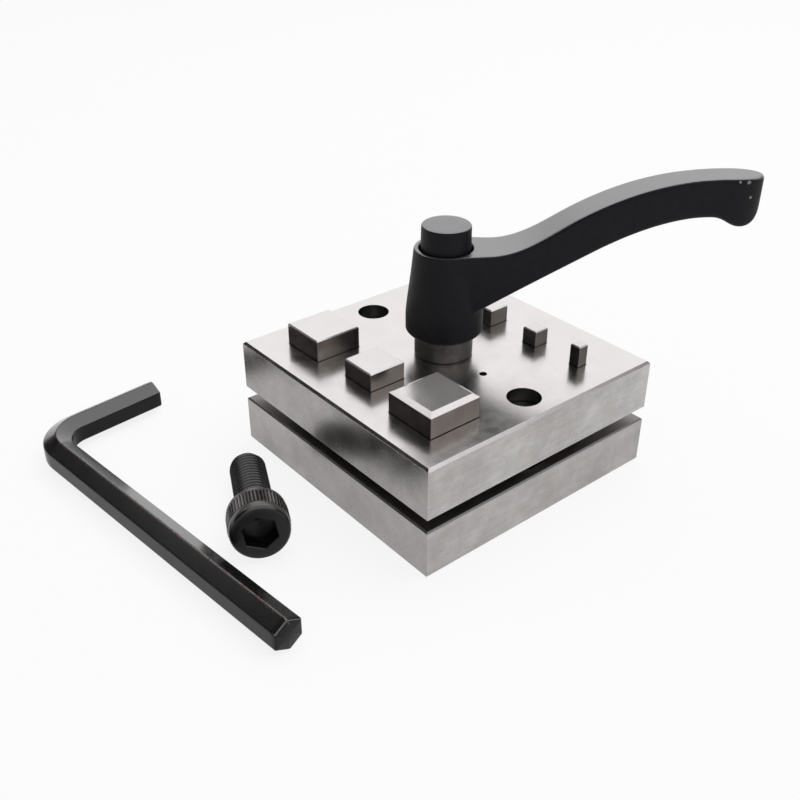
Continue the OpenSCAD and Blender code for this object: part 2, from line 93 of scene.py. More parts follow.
class Graph:
    """Adds nodes to one node tree and links them."""

    def __init__(self, tree: NodeTree) -> None:
        """Keeps the tree that the nodes go into."""
        self.tree = tree

    def add(self, kind: str, inputs: dict | None = None, **settings: object) -> NodeOutputs:
        """Adds one node.

        Args:
            kind: Blender's name of the node type, after ShaderNode.
            inputs: what goes into its inputs, by their names or numbers.
            settings: properties to set on it first.

        Returns:
            The node's outputs.
        """
        node = self.tree.nodes.new("ShaderNode" + kind)
        for name, value in settings.items():
            setattr(node, name, value)
        for name, value in (inputs or {}).items():
            self.feed(node.inputs[name], value)
        return node.outputs

    def feed(self, socket: NodeSocket, value: object) -> None:
        """Links a socket to another one, or sets its plain value.

        Args:
            socket: the input to fill.
            value: an output socket, a number, a vector or a colour.
        """
        if isinstance(value, NodeSocket):
            self.tree.links.new(value, socket)
        elif socket.type == "RGBA" and len(value) == 3:
            socket.default_value = (*value, 1.0)
        else:
            socket.default_value = value

    def math(self, operation: str, *values: object) -> NodeSocket:
        """Returns the result of a Math node."""
        return self.add("Math", dict(enumerate(values)), operation=operation)[0]

    def product(self, *values: object) -> NodeSocket:
        """Returns the product of several values."""
        return reduce(lambda first, second: self.math("MULTIPLY", first, second), values)

    def highest(self, *values: object) -> NodeSocket:
        """Returns the highest of several values."""
        return reduce(lambda first, second: self.math("MAXIMUM", first, second), values)

    def scaled(self, value: object, factor: object, base: object) -> NodeSocket:
        """Returns a value times a factor, plus a base."""
        return self.math("MULTIPLY_ADD", value, factor, base)

    def rest(self, value: object) -> NodeSocket:
        """Returns one minus a value."""
        return self.math("SUBTRACT", 1.0, value)

    def vector(self, operation: str, *values: object, output: str = "Vector") -> NodeSocket:
        """Returns one output of a Vector Math node."""
        return self.add("VectorMath", dict(enumerate(values)), operation=operation)[output]

    def dot(self, first: object, second: object) -> NodeSocket:
        """Returns the dot product of two vectors."""
        return self.vector("DOT_PRODUCT", first, second, output="Value")

    def ramp(self, value: object, low: object, high: object, start: float = 0.0,
             end: float = 1.0) -> NodeSocket:
        """Maps a value smoothly from the range low to high to the range start to end."""
        inputs = {"Value": value, "From Min": low, "From Max": high, "To Min": start, "To Max": end}
        return self.add("MapRange", inputs, interpolation_type="SMOOTHSTEP")["Result"]

    def fall(self, value: object, low: object, high: object) -> NodeSocket:
        """Maps a value smoothly to 1 at low and 0 at high."""
        return self.ramp(value, low, high, start=1.0, end=0.0)

    def blend(self, share: object, first: object, second: object) -> NodeSocket:
        """Mixes two colours by the share of the second one."""
        return self.add("Mix", {0: share, 6: first, 7: second}, data_type="RGBA")[2]

    def layers(self, base: object, *coats: tuple[object, Colour]) -> NodeSocket:
        """Returns a base colour with other colours laid over it, each by its share."""
        return reduce(lambda under, coat: self.blend(coat[0], under, coat[1]), coats, base)

    def noise(self, place: object, scale: object, detail: float = 2.0,
              roughness: float = 0.5) -> NodeSocket:
        """Returns the grey value of a noise texture, with scale as its lumps for each metre."""
        inputs = {"Vector": place, "Scale": scale, "Detail": detail, "Roughness": roughness}
        return self.add("TexNoise", inputs)[0]

    def parts(self, vector: NodeSocket) -> NodeOutputs:
        """Returns the parts X, Y and Z of a vector."""
        return self.add("SeparateXYZ", {0: vector})

    def faces(self) -> NodeOutputs:
        """Returns the parts X, Y and Z of the surface's direction."""
        return self.parts(self.add("NewGeometry")["Normal"])


class Effects:
    """Shader node groups that several finishes share, each built once."""

    VECTORS = ("Vector", "Stretch", "Normal")

    def __init__(self) -> None:
        """Builds every group."""
        self.groups: dict[str, NodeTree] = {}
        self._add("ground_lines", self._lines, ("Stretch", "Fineness"), ("Lines",))
        self._add("smudges", self._mottle, ("Fineness",), ("Mask",))
        self._add("dark_specks", self._specks, ("Fineness", "Amount"), ("Mask",))
        self._add("edge_wear", self._edges, ("Width", "Breakup"), ("Mask", "Normal"))
        self._add("coat_grain", self._grain, ("Fineness",), ("Height", "Mask"))

    def _add(self, name: str, fill: Callable, inputs: Sequence[str],
             outputs: Sequence[str]) -> None:
        """Makes a group with its sockets and fills it.

        Args:
            name: name of the group.
            fill: method that adds the nodes and returns what goes out.
            inputs: names of the inputs besides Vector.
            outputs: names of the outputs.
        """
        tree = self.groups[name] = bpy.data.node_groups.new(name, "ShaderNodeTree")
        for way, labels in (("INPUT", ("Vector", *inputs)), ("OUTPUT", outputs)):
            for label in labels:
                kind = "NodeSocketVector" if label in self.VECTORS else "NodeSocketFloat"
                tree.interface.new_socket(label, in_out=way, socket_type=kind)
        given, result = (tree.nodes.new("NodeGroup" + side) for side in ("Input", "Output"))
        graph = Graph(tree)
        for label, value in zip(outputs, fill(graph, given.outputs)):
            graph.feed(result.inputs[label], value)

    @staticmethod
    def _lines(graph: Graph, given: NodeOutputs) -> tuple[NodeSocket, ...]:
        """Adds fine and coarse grinding lines, stretched along one direction.

        Args:
            graph: what adds the group's nodes.
            given: the group's inputs.

        Returns:
            The lines.
        """
        coarseness, share = 0.22, 0.5
        place = graph.vector("MULTIPLY", given["Vector"], given["Stretch"])
        fine = graph.noise(place, given["Fineness"], detail=3.0, roughness=0.6)
        coarse = graph.noise(place, graph.product(given["Fineness"], coarseness))
        return (graph.scaled(coarse, share, graph.product(fine, 1 - share)),)

    @staticmethod
    def _mottle(graph: Graph, given: NodeOutputs) -> tuple[NodeSocket, ...]:
        """Adds cloudy smudges."""
        cloud = graph.noise(given["Vector"], given["Fineness"], detail=5.0, roughness=0.62)
        return (graph.ramp(cloud, low=0.34, high=0.68),)

    @staticmethod
    def _specks(graph: Graph, given: NodeOutputs) -> tuple[NodeSocket, ...]:
        """Adds scattered dark specks.

        Args:
            graph: what adds the group's nodes.
            given: the group's inputs.

        Returns:
            Their mask.
        """
        cells = graph.add("TexVoronoi", {"Vector": given["Vector"], "Scale": given["Fineness"]})
        chance = graph.add("SeparateColor", {0: cells["Color"]})[0]
        kept = graph.math("LESS_THAN", chance, given["Amount"])
        return (graph.product(graph.fall(cells["Distance"], low=0.10, high=0.24), kept),)

    @staticmethod
    def _edges(graph: Graph, given: NodeOutputs) -> tuple[NodeSocket, ...]:
        """Finds worn edges and rounds their normals.

        Args:
            graph: what adds the group's nodes.
            given: the group's inputs.

        Returns:
            The mask of the edges and the rounded normal.
        """
        raggedness = 0.16
        bevel = graph.add("Bevel", {"Radius": given["Width"]}, samples=6)[0]
        alike = graph.dot(bevel, graph.add("NewGeometry")["Normal"])
        rough = graph.noise(given["Vector"], scale=900.0, detail=4.0, roughness=0.6)
        torn = graph.ramp(rough, given["Breakup"], graph.math("ADD", given["Breakup"], raggedness))
        return graph.product(graph.ramp(alike, low=0.995, high=0.86), torn), bevel

    @staticmethod
    def _grain(graph: Graph, given: NodeOutputs) -> tuple[NodeSocket, ...]:
        """Adds the fine grain of a sprayed or moulded skin.

        Args:
            graph: what adds the group's nodes.
            given: the group's inputs.

        Returns:
            The grain's height and a mask of its wide lumps.
        """
        coarseness, share = 0.16, 0.6
        fine = graph.noise(given["Vector"], given["Fineness"], detail=3.0, roughness=0.55)
        wide = graph.noise(given["Vector"], graph.product(given["Fineness"], coarseness))
        return graph.scaled(wide, share, fine), graph.ramp(wide, low=0.35, high=0.65)


class Paint(Graph):
    """Nodes of one material, with its Principled shader and its coordinates in metres."""

    def __init__(self, name: str, effects: dict[str, NodeTree]) -> None:
        """Makes the material.

        Args:
            name: its name.
            effects: the shared node groups, by their names.
        """
        self.material = bpy.data.materials.new(name)
        self.material.use_nodes = True
        super().__init__(self.material.node_tree)
        self.effects = effects
        self.shader = self.tree.nodes["Principled BSDF"]
        self.place = self.add("TexCoord")["Object"]

    def use(self, effect: str, **values: object) -> NodeOutputs:
        """Places a shared effect in this material and returns its outputs."""
        return self.add("Group", {"Vector": self.place, **values}, node_tree=self.effects[effect])

    def set(self, **values: object) -> None:
        """Sets sockets of the shader, with _ for a space in their names."""
        for name, value in values.items():
            self.feed(self.shader.inputs[name.replace("_", " ")], value)

    def bump(self, height: NodeSocket, depth: float, strength: float, **more: object) -> NodeSocket:
        """Returns the normal of a surface that a height raises by a depth in metres."""
        inputs = {"Height": height, "Distance": depth, "Strength": strength, **more}
        return self.add("Bump", inputs)[0]


@dataclass(frozen=True)
class Finish:
    """Finish of a surface."""

    name: str

    def lay(self, paint: Paint) -> None:
        """Fills a material with the nodes of this finish."""
        raise NotImplementedError


@dataclass(frozen=True)
class GroundSteel(Finish):
    """Surface-ground steel: bright top, satin sides with grinding lines, smudges and specks; the
    sides are painted darker than the top as painted shade, and the sides that face -Y lighter as
    painted light.
    """

    top: Colour = (0.85, 0.81, 0.805)
    # Darker colour of the sides: painted shade next to the bright top.
    side: Colour = (0.405, 0.389, 0.379)
    # Lighter colour of the sides that face -Y: painted light.
    painted_front_light: Colour = (0.56, 0.543, 0.531)
    smudge: Colour = (0.26, 0.247, 0.238)
    speck: Colour = (0.12, 0.11, 0.105)
    # Near-black line round the punch holes: painted contact shadow.
    rim: Colour = (0.03, 0.028, 0.027)
    top_roughness: float = 0.21
    side_roughness: float = 0.22
    haze_roughness: float = 0.06
    axis: Axis = Axis.X
    line_share: float = 0.22
    top_line_loss: float = 0.7
    cloud_share: float = 0.65
    smudge_share: float = 0.6
    top_smudge: float = 0.07
    speck_amount: float = 0.2
    speck_share: float = 0.35
    top_speck_loss: float = 0.2
    edge_share: float = 0.6
    top_haze: float = 0.0
    # Widths of the painted contact shadow's dark core and of its fade.
    contact_shadow_core: float = 0.18 * MM
    contact_shadow_width: float = 0.3 * MM
    holes: tuple[tuple[Point, Point], ...] = ()

    def lay(self, paint: Paint) -> None:
        """Lays the steel's colours, roughness and grinding lines.

        Args:
            paint: the material to fill.
        """
        faces = paint.faces()
        up = paint.ramp(faces["Z"], low=0.5, high=0.7)
        down = paint.rest(up)
        # Mask of the sides that face -Y, which take the painted light.
        front = paint.ramp(faces["Y"], low=-0.6, high=-0.9)
        lines = paint.use("ground_lines", Fineness=5200.0, Stretch=self.axis.value)["Lines"]
        cloud = paint.use("smudges", Fineness=55.0)["Mask"]
        haze = paint.use("smudges", Fineness=160.0)["Mask"]
        dots = paint.use("dark_specks", Fineness=900.0, Amount=self.speck_amount)["Mask"]
        edge = paint.use("edge_wear", Width=0.12 * MM, Breakup=0.3)
        stain = paint.scaled(cloud, self.cloud_share, paint.product(haze, 1 - self.cloud_share))
        streaks = paint.ramp(lines, low=0.35, high=0.65, end=self.line_share)
        spotted = paint.scaled(up, -self.top_speck_loss, self.speck_share)
        # Sides in painted shade, -Y sides in painted light, top bright; then smudges, lines, specks
        # and edges.
        colour = paint.layers(
            self.side, (front, self.painted_front_light), (up, self.top),
            (paint.product(stain, down, self.smudge_share), self.smudge),
            (paint.product(stain, up, self.top_smudge), self.smudge),
            (paint.product(streaks, down), self.smudge), (paint.product(dots, spotted), self.speck),
            (paint.product(edge["Mask"], self.edge_share), self.top))
        # Painted contact shadow round the punch holes on the top.
        if self.holes:
            colour = paint.blend(paint.product(self._contact_shadow(paint), up), colour, self.rim)
        rough = paint.scaled(up, self.top_roughness - self.side_roughness, self.side_roughness)
        relief = paint.product(lines, paint.scaled(up, -self.top_line_loss, 1.0))
        paint.set(Base_Color=colour, Roughness=paint.scaled(haze, self.haze_roughness, rough),
                  Metallic=paint.scaled(up, -self.top_haze, 1.0) if self.top_haze else 1.0,
                  Normal=paint.bump(relief, depth=0.004 * MM, strength=0.55, Normal=edge["Normal"]))

    def _contact_shadow(self, paint: Paint) -> NodeSocket:
        """Makes a mask of the painted contact shadow round the square holes.

        Args:
            paint: the material that the holes are in.

        Returns:
            The mask.
        """
        masks: list[NodeSocket] = []
        for middle, half in self.holes:
            off = paint.vector("ABSOLUTE", paint.vector("SUBTRACT", paint.place, middle))
            away = paint.parts(paint.vector("SUBTRACT", off, half))
            far = paint.highest(away["X"], away["Y"])
            masks.append(paint.fall(far, self.contact_shadow_core, self.contact_shadow_width))
        return paint.highest(*masks)


@dataclass(frozen=True)
class TurnedSteel(Finish):
    """Turned or drawn steel: rings along the axis, dull patches and pale edges."""

    colour: Colour = (0.2, 0.195, 0.185)
    dull: Colour = (0.11, 0.105, 0.1)
    dull_share: float = 0.7
    dull_roughness: float = 0.12
    roughness: float = 0.34
    rings: float = 3800.0
    edge_share: float = 0.7
    edge_gain: float = 2.2

    def lay(self, paint: Paint) -> None:
        """Lays the steel's colours, roughness and rings.

        Args:
            paint: the material to fill.
        """
        lines = paint.use("ground_lines", Fineness=self.rings, Stretch=Axis.ROUND.value)["Lines"]
        cloud = paint.use("smudges", Fineness=240.0)["Mask"]
        edge = paint.use("edge_wear", Width=0.15 * MM, Breakup=0.34)
        pale = tuple(min(1.0, self.edge_gain * part) for part in self.colour)
        colour = paint.layers(self.colour, (paint.product(cloud, self.dull_share), self.dull),
                              (paint.product(edge["Mask"], self.edge_share), pale))
        paint.set(Base_Color=colour, Metallic=1.0,
                  Roughness=paint.scaled(cloud, self.dull_roughness, self.roughness),
                  Normal=paint.bump(lines, depth=0.008 * MM, strength=0.7, Normal=edge["Normal"]))


SPRING_WIRE = TurnedSteel("spring_wire", (0.3, 0.3, 0.3), (0.16, 0.16, 0.16), roughness=0.28)


@dataclass(frozen=True)
class BlackCoat(Finish):
    """Satin black coat with a sheen on what faces up, which grows at a slant, a lighter violet
    colour painted on what faces up as painted sheen, and a few chips.
    """

    colour: Colour = (0.0043, 0.0041, 0.0062)
    worn: Colour = (0.0074, 0.007, 0.009)
    # Lighter violet colour of what faces up: painted sheen.
    top: Colour = (0.022, 0.0172, 0.0275)
    scuff: Colour = (0.06, 0.058, 0.06)
    scuff_share: float = 0.16
    bare: Colour = (0.25, 0.245, 0.245)
    roughness: float = 0.5
    grain_roughness: float = 0.06
    coat_ior: float = 3.45
    grain: float = 2600.0
    chips: tuple[tuple[Point, float], ...] = ()
    chip_core: float = 1.2 * MM
    chip_edge: float = 1.5 * MM

    def lay(self, paint: Paint) -> None:
        """Lays the coat's colours, sheen and grain.

        Args:
            paint: the material to fill.
        """
        grain = paint.use("coat_grain", Fineness=self.grain)
        edge = paint.use("edge_wear", Width=0.25 * MM, Breakup=0.42)
        level = paint.faces()["Z"]
        slant = paint.ramp(paint.add("LayerWeight")["Facing"], low=0.2, high=0.46)
        sheen = paint.product(slant, paint.ramp(level, low=0.3, high=0.8))
        # What faces up takes the lighter violet colour as painted sheen.
        colour = paint.layers(self.colour, (grain["Mask"], self.worn),
                              (paint.ramp(level, low=0.72, high=0.93), self.top),
                              (paint.product(edge["Mask"], self.scuff_share), self.scuff))
        if self.chips:
            chip = self._chips(paint)
            colour = paint.blend(chip, colour, self.bare)
            sheen = paint.product(sheen, paint.rest(chip))
        paint.set(Base_Color=colour, Specular_IOR_Level=0.18, Coat_Weight=sheen,
                  Roughness=paint.scaled(grain["Mask"], self.grain_roughness, self.roughness),
                  Coat_Roughness=0.3, Coat_IOR=self.coat_ior,
                  Normal=paint.bump(grain["Height"], depth=0.010 * MM, strength=0.3))

    def _chips(self, paint: Paint) -> NodeSocket:
        """Makes a mask of small ragged chips.

        Args:
            paint: the material that the chips are in.

        Returns:
            The mask.
        """
        masks: list[NodeSocket] = []
        ragged = paint.noise(paint.place, scale=1900.0, detail=3.0, roughness=0.6)
        for centre, radius in self.chips:
            core, edge = self.chip_core * radius, self.chip_edge * radius
            far = paint.vector("DISTANCE", paint.place, centre, output="Value")
            masks.append(paint.fall(paint.scaled(ragged, core, far), core, edge))
        return paint.highest(*masks)


@dataclass(frozen=True)
class BlackOxide(Finish):
    """Black oxide on steel, faintly oily, rubbed through along its proud places."""

    colour: Colour = (0.0032, 0.003, 0.0031)
    dull: Colour = (0.0068, 0.0064, 0.0064)
    dull_roughness: float = 0.08
    speck: Colour = (0.05, 0.044, 0.04)
    speck_share: float = 0.3
    rubbed: Colour = (0.17, 0.085, 0.062)
    rub_share: float = 0.8
    rub_metal: float = 0.6
    breakup: float = 0.5
    raggedness: float = 0.12
    haze: float = 1.0
    roughness: float = 0.24
    specular: float = 0.2

    def lay(self, paint: Paint) -> None:
        """Lays the oxide's colours, haze and rubbed places.

        Args:
            paint: the material to fill.
        """
        cloud = paint.use("smudges", Fineness=130.0)["Mask"]
        grain = paint.use("coat_grain", Fineness=1900.0)["Height"]
        dots = paint.use("dark_specks", Fineness=620.0, Amount=0.1)["Mask"]
        rough = paint.noise(paint.place, scale=1500.0, detail=4.0, roughness=0.65)
        rubbed = paint.add("Attribute", attribute_name=RUB)["Fac"]
        proud = paint.product(paint.ramp(rubbed, low=0.15, high=0.75),
                              paint.ramp(rough, self.breakup, self.breakup + self.raggedness))
        sheen = paint.product(paint.ramp(paint.faces()["Z"], low=0.25, high=0.7, end=self.haze),
                              paint.rest(proud), paint.ramp(rubbed, low=-0.7, high=-0.05))
        colour = paint.layers(self.colour, (cloud, self.dull),
                              (paint.product(dots, self.speck_share), self.speck),
                              (paint.product(proud, self.rub_share), self.rubbed))
        paint.set(Base_Color=colour, Metallic=paint.product(proud, self.rub_metal),
                  Roughness=paint.scaled(cloud, self.dull_roughness, self.roughness),
                  Specular_IOR_Level=self.specular, Coat_Weight=sheen, Coat_IOR=2.15,
                  Coat_Roughness=0.17, Normal=paint.bump(grain, depth=0.008 * MM, strength=0.35))


class Workshop:
    """Makes each finish once, dresses the pieces and puts them on their bodies."""

    def __init__(self) -> None:
        """Builds the shared effects."""
        self.effects = Effects().groups
        self.made: dict[str, Material] = {}

    def dress(self, piece: Object, finish: Finish) -> None:
        """Gives an object one finish.

        Args:
            piece: the object.
            finish: its finish, which is made when it is first used.
        """
        if finish.name not in self.made:
            paint = Paint(finish.name, self.effects)
            finish.lay(paint)
            self.made[finish.name] = paint.material
        piece.data.materials.clear()
        piece.data.materials.append(self.made[finish.name])
        LOG.info("%s dressed in %s", piece.name, finish.name)

    def hand_over(self, piece: Object, finish: Finish, body: str, slot: str, node: str) -> None:
        """Dresses a new piece and lets it stand for a CAD node.

        Args:
            piece: the new piece, in place.
            finish: its finish.
            body: CAD body that carries it.
            slot: not used.
            node: CAD node that it replaces.
        """
        self.dress(piece, finish)
        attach(piece, body)
        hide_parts(node)
        LOG.info("%s stands for %s on %s", piece.name, node, body)


class Knot(NamedTuple):
    """Point of a curved line, with its slope and the shares of the runs that its handles take."""

    x: float
    z: float
    slope: float = 0.0
    before: float = 0.0
    after: float = 0.0


def cubic(points: Sequence[Sequence[float]], count: int) -> list[np.ndarray]:
    """Samples a cubic curve.

    Args:
        points: its ends, with their handles between them.
        count: number of steps.

    Returns:
        The points along it, ends included.
    """
    a, b, c, d = (np.array(point, float) for point in points)
    return [(1 - t) ** 3 * a + 3 * (1 - t) ** 2 * t * b + 3 * (1 - t) * t * t * c + t ** 3 * d
            for t in (i / count for i in range(count + 1))]


def curve(knots: Sequence[Knot], count: int = 24) -> list[np.ndarray]:
    """Samples a curved line through knots.

    Args:
        knots: the knots in order.
        count: number of steps from each to the next.

    Returns:
        The points along it, ends included.
    """
    points: list[np.ndarray] = []
    for a, d in zip(knots, knots[1:]):
        out, back = a.after * (d.x - a.x), d.before * (d.x - a.x)
        points += cubic((a[:2], (a.x + out, a.z + out * a.slope),
                         (d.x - back, d.z - back * d.slope), d[:2]), count)
    return points


def heights(node: str) -> Flat:
    """Returns the lowest and highest level of a CAD node, in millimetres."""
    low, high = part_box(node)
    return low.z / MM, high.z / MM


def even_turns(count: int) -> list[float]:
    """Returns the angles of so many even steps round a circle, in radians."""
    return [FULL_TURN * i / count for i in range(count)]


def level_ring(radii: Sequence[float], z: float) -> Ring:
    """Returns a level ring of points from its radii at even turns."""
    return [(r * math.cos(a), r * math.sin(a), z) for r, a in zip(radii, even_turns(len(radii)))]


def turned(profile: Sequence[Flat], count: int) -> list[Ring]:
    """Returns the rings of a turned form from its radii and heights."""
    return [level_ring([radius] * count, z) for radius, z in profile]


class Shell:
    """Collects rings of points into one closed mesh, in millimetres."""

    def __init__(self) -> None:
        """Starts with no points and no faces."""
        self.points: list[Point] = []
        self.faces: list[tuple[int, ...]] = []
        self.rubs: list[float] = []

    def skin(self, rings: Sequence[Ring], rubs: Sequence[Sequence[float]] | None = None) -> "Shell":
        """Joins rings of equal length by quads and closes the two ends.

        Args:
            rings: the rings in order.
            rubs: how rubbed each of their points is.

        Returns:
            This shell.
        """
        base, count, last = len(self.points), len(rings[0]), len(rings) - 1
        for i, ring in enumerate(rings):
            self.points.extend(ring)
            self.rubs.extend(rubs[i] if rubs else [0.0] * count)
        for i in range(last):
            low, high = base + i * count, base + (i + 1) * count
            for j in range(count):
                k = (j + 1) % count
                self.faces.append((low + j, low + k, high + k, high + j))
        for start, ring, way in ((base, rings[0], -1), (base + last * count, rings[-1], 1)):
            middle = len(self.points)
            self.points.append(tuple(np.mean(np.array(ring), axis=0).tolist()))
            self.rubs.append(0.0)
            for j in range(count):
                pair = (start + j, start + (j + 1) % count)[::way]
                self.faces.append((*pair, middle))
        return self

    def make(self, name: str, place: Matrix = HOME, sharp: float = 32.0) -> Object:
        """Makes the object.

        Args:
            name: its name.
            place: its place in the shared frame, in millimetres.
            sharp: angle in degrees above which an edge stays sharp.

        Returns:
            The object, linked into the scene, in metres.
        """
        mesh = bpy.data.meshes.new(name)
        mesh.from_pydata(self.points, [], self.faces)
        mesh.transform(Matrix.Scale(MM, 4) @ place)
        mesh.attributes.new(RUB, "FLOAT", "POINT").data.foreach_set("value", self.rubs)
        smooth(mesh, sharp)
        piece = bpy.data.objects.new(name, mesh)
        bpy.context.scene.collection.objects.link(piece)
        return piece


def smooth(mesh: Mesh, sharp: float) -> None:
    """Shades a mesh smooth, with sharp edges above an angle in degrees."""
    mesh.shade_smooth()
    mesh.set_sharp_from_angle(angle=math.radians(sharp))


@dataclass(frozen=True)
class Coil:
    """Upright compression spring of round wire, with its end turns closed up."""

    radius: float
    turns: float
    wire: float = 1.0
    steps: int = 26
    sides: int = 12
    ease: float = 0.035
    sharp: float = 50.0

    def rings(self, low: float, high: float) -> list[Ring]:
        """Makes the rings of the wire.

        Args:
            low: lowest level of the wire.
            high: highest level of the wire.

        Returns:
            The rings from the foot to the top.
        """
        count, half = round(self.turns * self.steps), self.wire / 2
        foot, run = low + half, high - low - self.wire
        rings: list[Ring] = []
        for share in (i / count for i in range(count + 1)):
            angle = FULL_TURN * self.turns * share
            level = foot + run * (share - self.ease * math.sin(FULL_TURN * share))
            section = [(self.radius - half * math.cos(a), level + half * math.sin(a))
                       for a in even_turns(self.sides)]
            rings.append([(r * math.cos(angle), r * math.sin(angle), z) for r, z in section])
        return rings

    def stand_for(self, shop: Workshop, node: str, body: str, joint: str, travel: float,
                  held: End, axis: Flat = (0.0, 0.0)) -> None:
        """Builds the spring in place of a CAD node.

        Args:
            shop: what dresses the pieces.
            node: the CAD node.
            body: CAD body that carries the spring.
            joint: not used.
            travel: not used.
            held: not used.
            axis: where the spring stands, in metres.
        """
        low, high = ends = heights(node)
        place = Matrix.Translation((axis[0] / MM, axis[1] / MM, 0.0))
        piece = Shell().skin(self.rings(low, high)).make("coil_" + node, place, self.sharp)
        shop.hand_over(piece, SPRING_WIRE, body, "spring_steel", node)
        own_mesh(piece)


@dataclass(frozen=True)
class Thread:
    """Triangular thread of a screw."""

    radius: float = 5.0
    pitch: float = 1.5
    depth: float = 0.92
    flank: float = 1.25
    crest: float = 0.1
    columns: int = 108
    rows: int = 12

    def rings(self, start: float, end: float, chamfer: float, tail: float) -> list[Ring]:
        """Makes the rings of the threaded length.

        Args:
            start: height of the first ring.
            end: height of the last ring.
            chamfer: height of the bevel at the end.
            tail: length over which the thread fades in at the start.

        Returns:
            The rings.
        """
        count = round((end - start) / self.pitch * self.rows)
        rings: list[Ring] = []
        for z in (start + (end - start) * i / count for i in range(count + 1)):
            limit = self.radius - max(0.0, z - (end - chamfer))
            fade = min(1.0, (z - start) / tail)
            phases = [(z / self.pitch - j / self.columns) % 1.0 for j in range(self.columns)]
            ridges = [min(1.0, max(0.0, self.flank * (1 - abs(2 * phase - 1)) - self.crest))
                      for phase in phases]
            radii = [self.radius - self.depth * (1 - fade * (1 - ridge)) for ridge in ridges]
            rings.append(level_ring([min(limit, radius) for radius in radii], z))
        return rings


@dataclass
class Plates:
    """Die plate, guide plate, the seven punches and the guide pins, shown by their CAD nodes."""

    shop: Workshop
    punches: tuple[str, ...] = ("punch_3mm", "punch_5mm", "punch_6mm", "punch_9mm",
                                "punch_11mm", "punch_14mm", "punch_16mm")
    pins: tuple[str, ...] = ("guide_pin_front", "guide_pin_back")

    def build(self) -> None:
        """Dresses the plates, punches and pins."""
        # The guide plate's holes carry the painted contact shadow round each punch.
        guide = GroundSteel("guide_plate_steel", holes=tuple(map(self._hole, self.punches)))
        # The die plate's darker top is painted shade of the gap under the guide plate; its lighter
        # -Y sides are painted light.
        die = GroundSteel("die_plate_steel", top=(0.30, 0.29, 0.285), painted_front_light=(0.5, 0.482, 0.472),
                          top_roughness=0.4, smudge_share=0.7)
        # The punches' darker sides are painted shade and their lighter -Y sides painted light.
        punch = GroundSteel("ground_punch", side=(0.34, 0.31, 0.29), painted_front_light=(0.42, 0.385, 0.36),
                            smudge=(0.19, 0.17, 0.155), axis=Axis.Z, top_roughness=0.16,
                            side_roughness=0.14, smudge_share=0.55, speck_amount=0.08,
                            edge_share=0.2, top_haze=0.22)
        # Dark colour of the pins: painted shade of the holes they sit in.
        pin = TurnedSteel("turned_pin", (0.09, 0.088, 0.085), (0.035, 0.033, 0.031), roughness=0.42)
        for names, finish in ((("guide_plate",), guide), (("die_plate",), die),
                              (self.punches, punch), (self.pins, pin)):
            for name in names:
                self.shop.dress(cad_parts[name], finish)

    @staticmethod
    def _hole(punch: str) -> tuple[Point, Point]:
        """Returns the middle and the half widths of a punch's hole, in metres."""
        low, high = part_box(punch)
        return tuple((low + high) / 2), tuple((high - low) / 2)


@dataclass
class LiftSprings:
    """Two springs round the guide pins, between the die plate's pockets and the guide plate."""

    shop: Workshop
    coil: Coil = Coil(radius=5.4, turns=3.5)
    travel: float = 3.0

    def build(self) -> None:
        """Builds both springs."""
        for node in ("lift_spring_front", "lift_spring_back"):
            low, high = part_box(node)
            self.coil.stand_for(self.shop, node, "die_base", "guide_slide", self.travel, End.FOOT,
                                tuple((low + high).xy / 2))


@dataclass
class Clamp:
    """Stud, insert, retaining screw, index spring and push button on the clamp's axis."""

    shop: Workshop
    stud: Thread = Thread(rows=8, columns=72)
    coil: Coil = Coil(radius=4.5, turns=4.0)
    lift: float = 3.5
    button_r: float = 6.7
    button_bore: float = 5.3
    button_bevel: float = 0.2
    button_rim: float = 0.45
    button_draft: float = 0.12
    button_flat: float = 0.62
    core_r: float = 0.02

    def build(self) -> None:
        """Dresses the CAD pieces and builds the stud, the spring and the button."""
        self.shop.dress(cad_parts["clamp_insert"], TurnedSteel(
            "turned_insert", (0.15, 0.145, 0.137), (0.09, 0.086, 0.08), roughness=0.4))
        self.shop.dress(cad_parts["retaining_screw"], TurnedSteel(
            "plated_screw", (0.55, 0.55, 0.56), (0.4, 0.4, 0.41)))
        rings = self.stud.rings(*heights("clamp_stud"), chamfer=0.3, tail=1.0)
        piece = Shell().skin(rings).make("threaded_stud", sharp=70.0)
        steel = TurnedSteel("oiled_stud", (0.26, 0.255, 0.25), rings=900.0)
        self.shop.hand_over(piece, steel, "clamp", "stud_steel", "clamp_stud")
        self.coil.stand_for(self.shop, "index_spring", "clamp", "lever_lift", self.lift, End.TOP)
        self._button()

    def _button(self) -> None:
        """Builds the push button with a rounded rim and a hollow skirt."""
        foot, top = heights("push_button")
        hollow = heights("retaining_screw")[1]
        bevel, rim, crown = self.button_bevel, self.button_rim, self.button_r - self.button_draft
        profile = [(self.core_r, hollow), (self.button_bore, hollow), (self.button_bore, foot),
                   (self.button_r - bevel, foot), (self.button_r, foot + bevel)]
        profile += [(crown - rim + rim * math.cos(a), top - rim + rim * math.sin(a))
                    for a in np.radians(np.linspace(0, 90, num=6))]
        profile += [(self.button_flat * crown, top), (self.core_r, top)]
        piece = Shell().skin(turned(profile, count=96)).make("push_button_cap", sharp=40.0)
        plastic = BlackCoat("moulded_button", coat_ior=2.9, grain=1500.0)
        self.shop.hand_over(piece, plastic, "clamp", "button_plastic", "push_button")


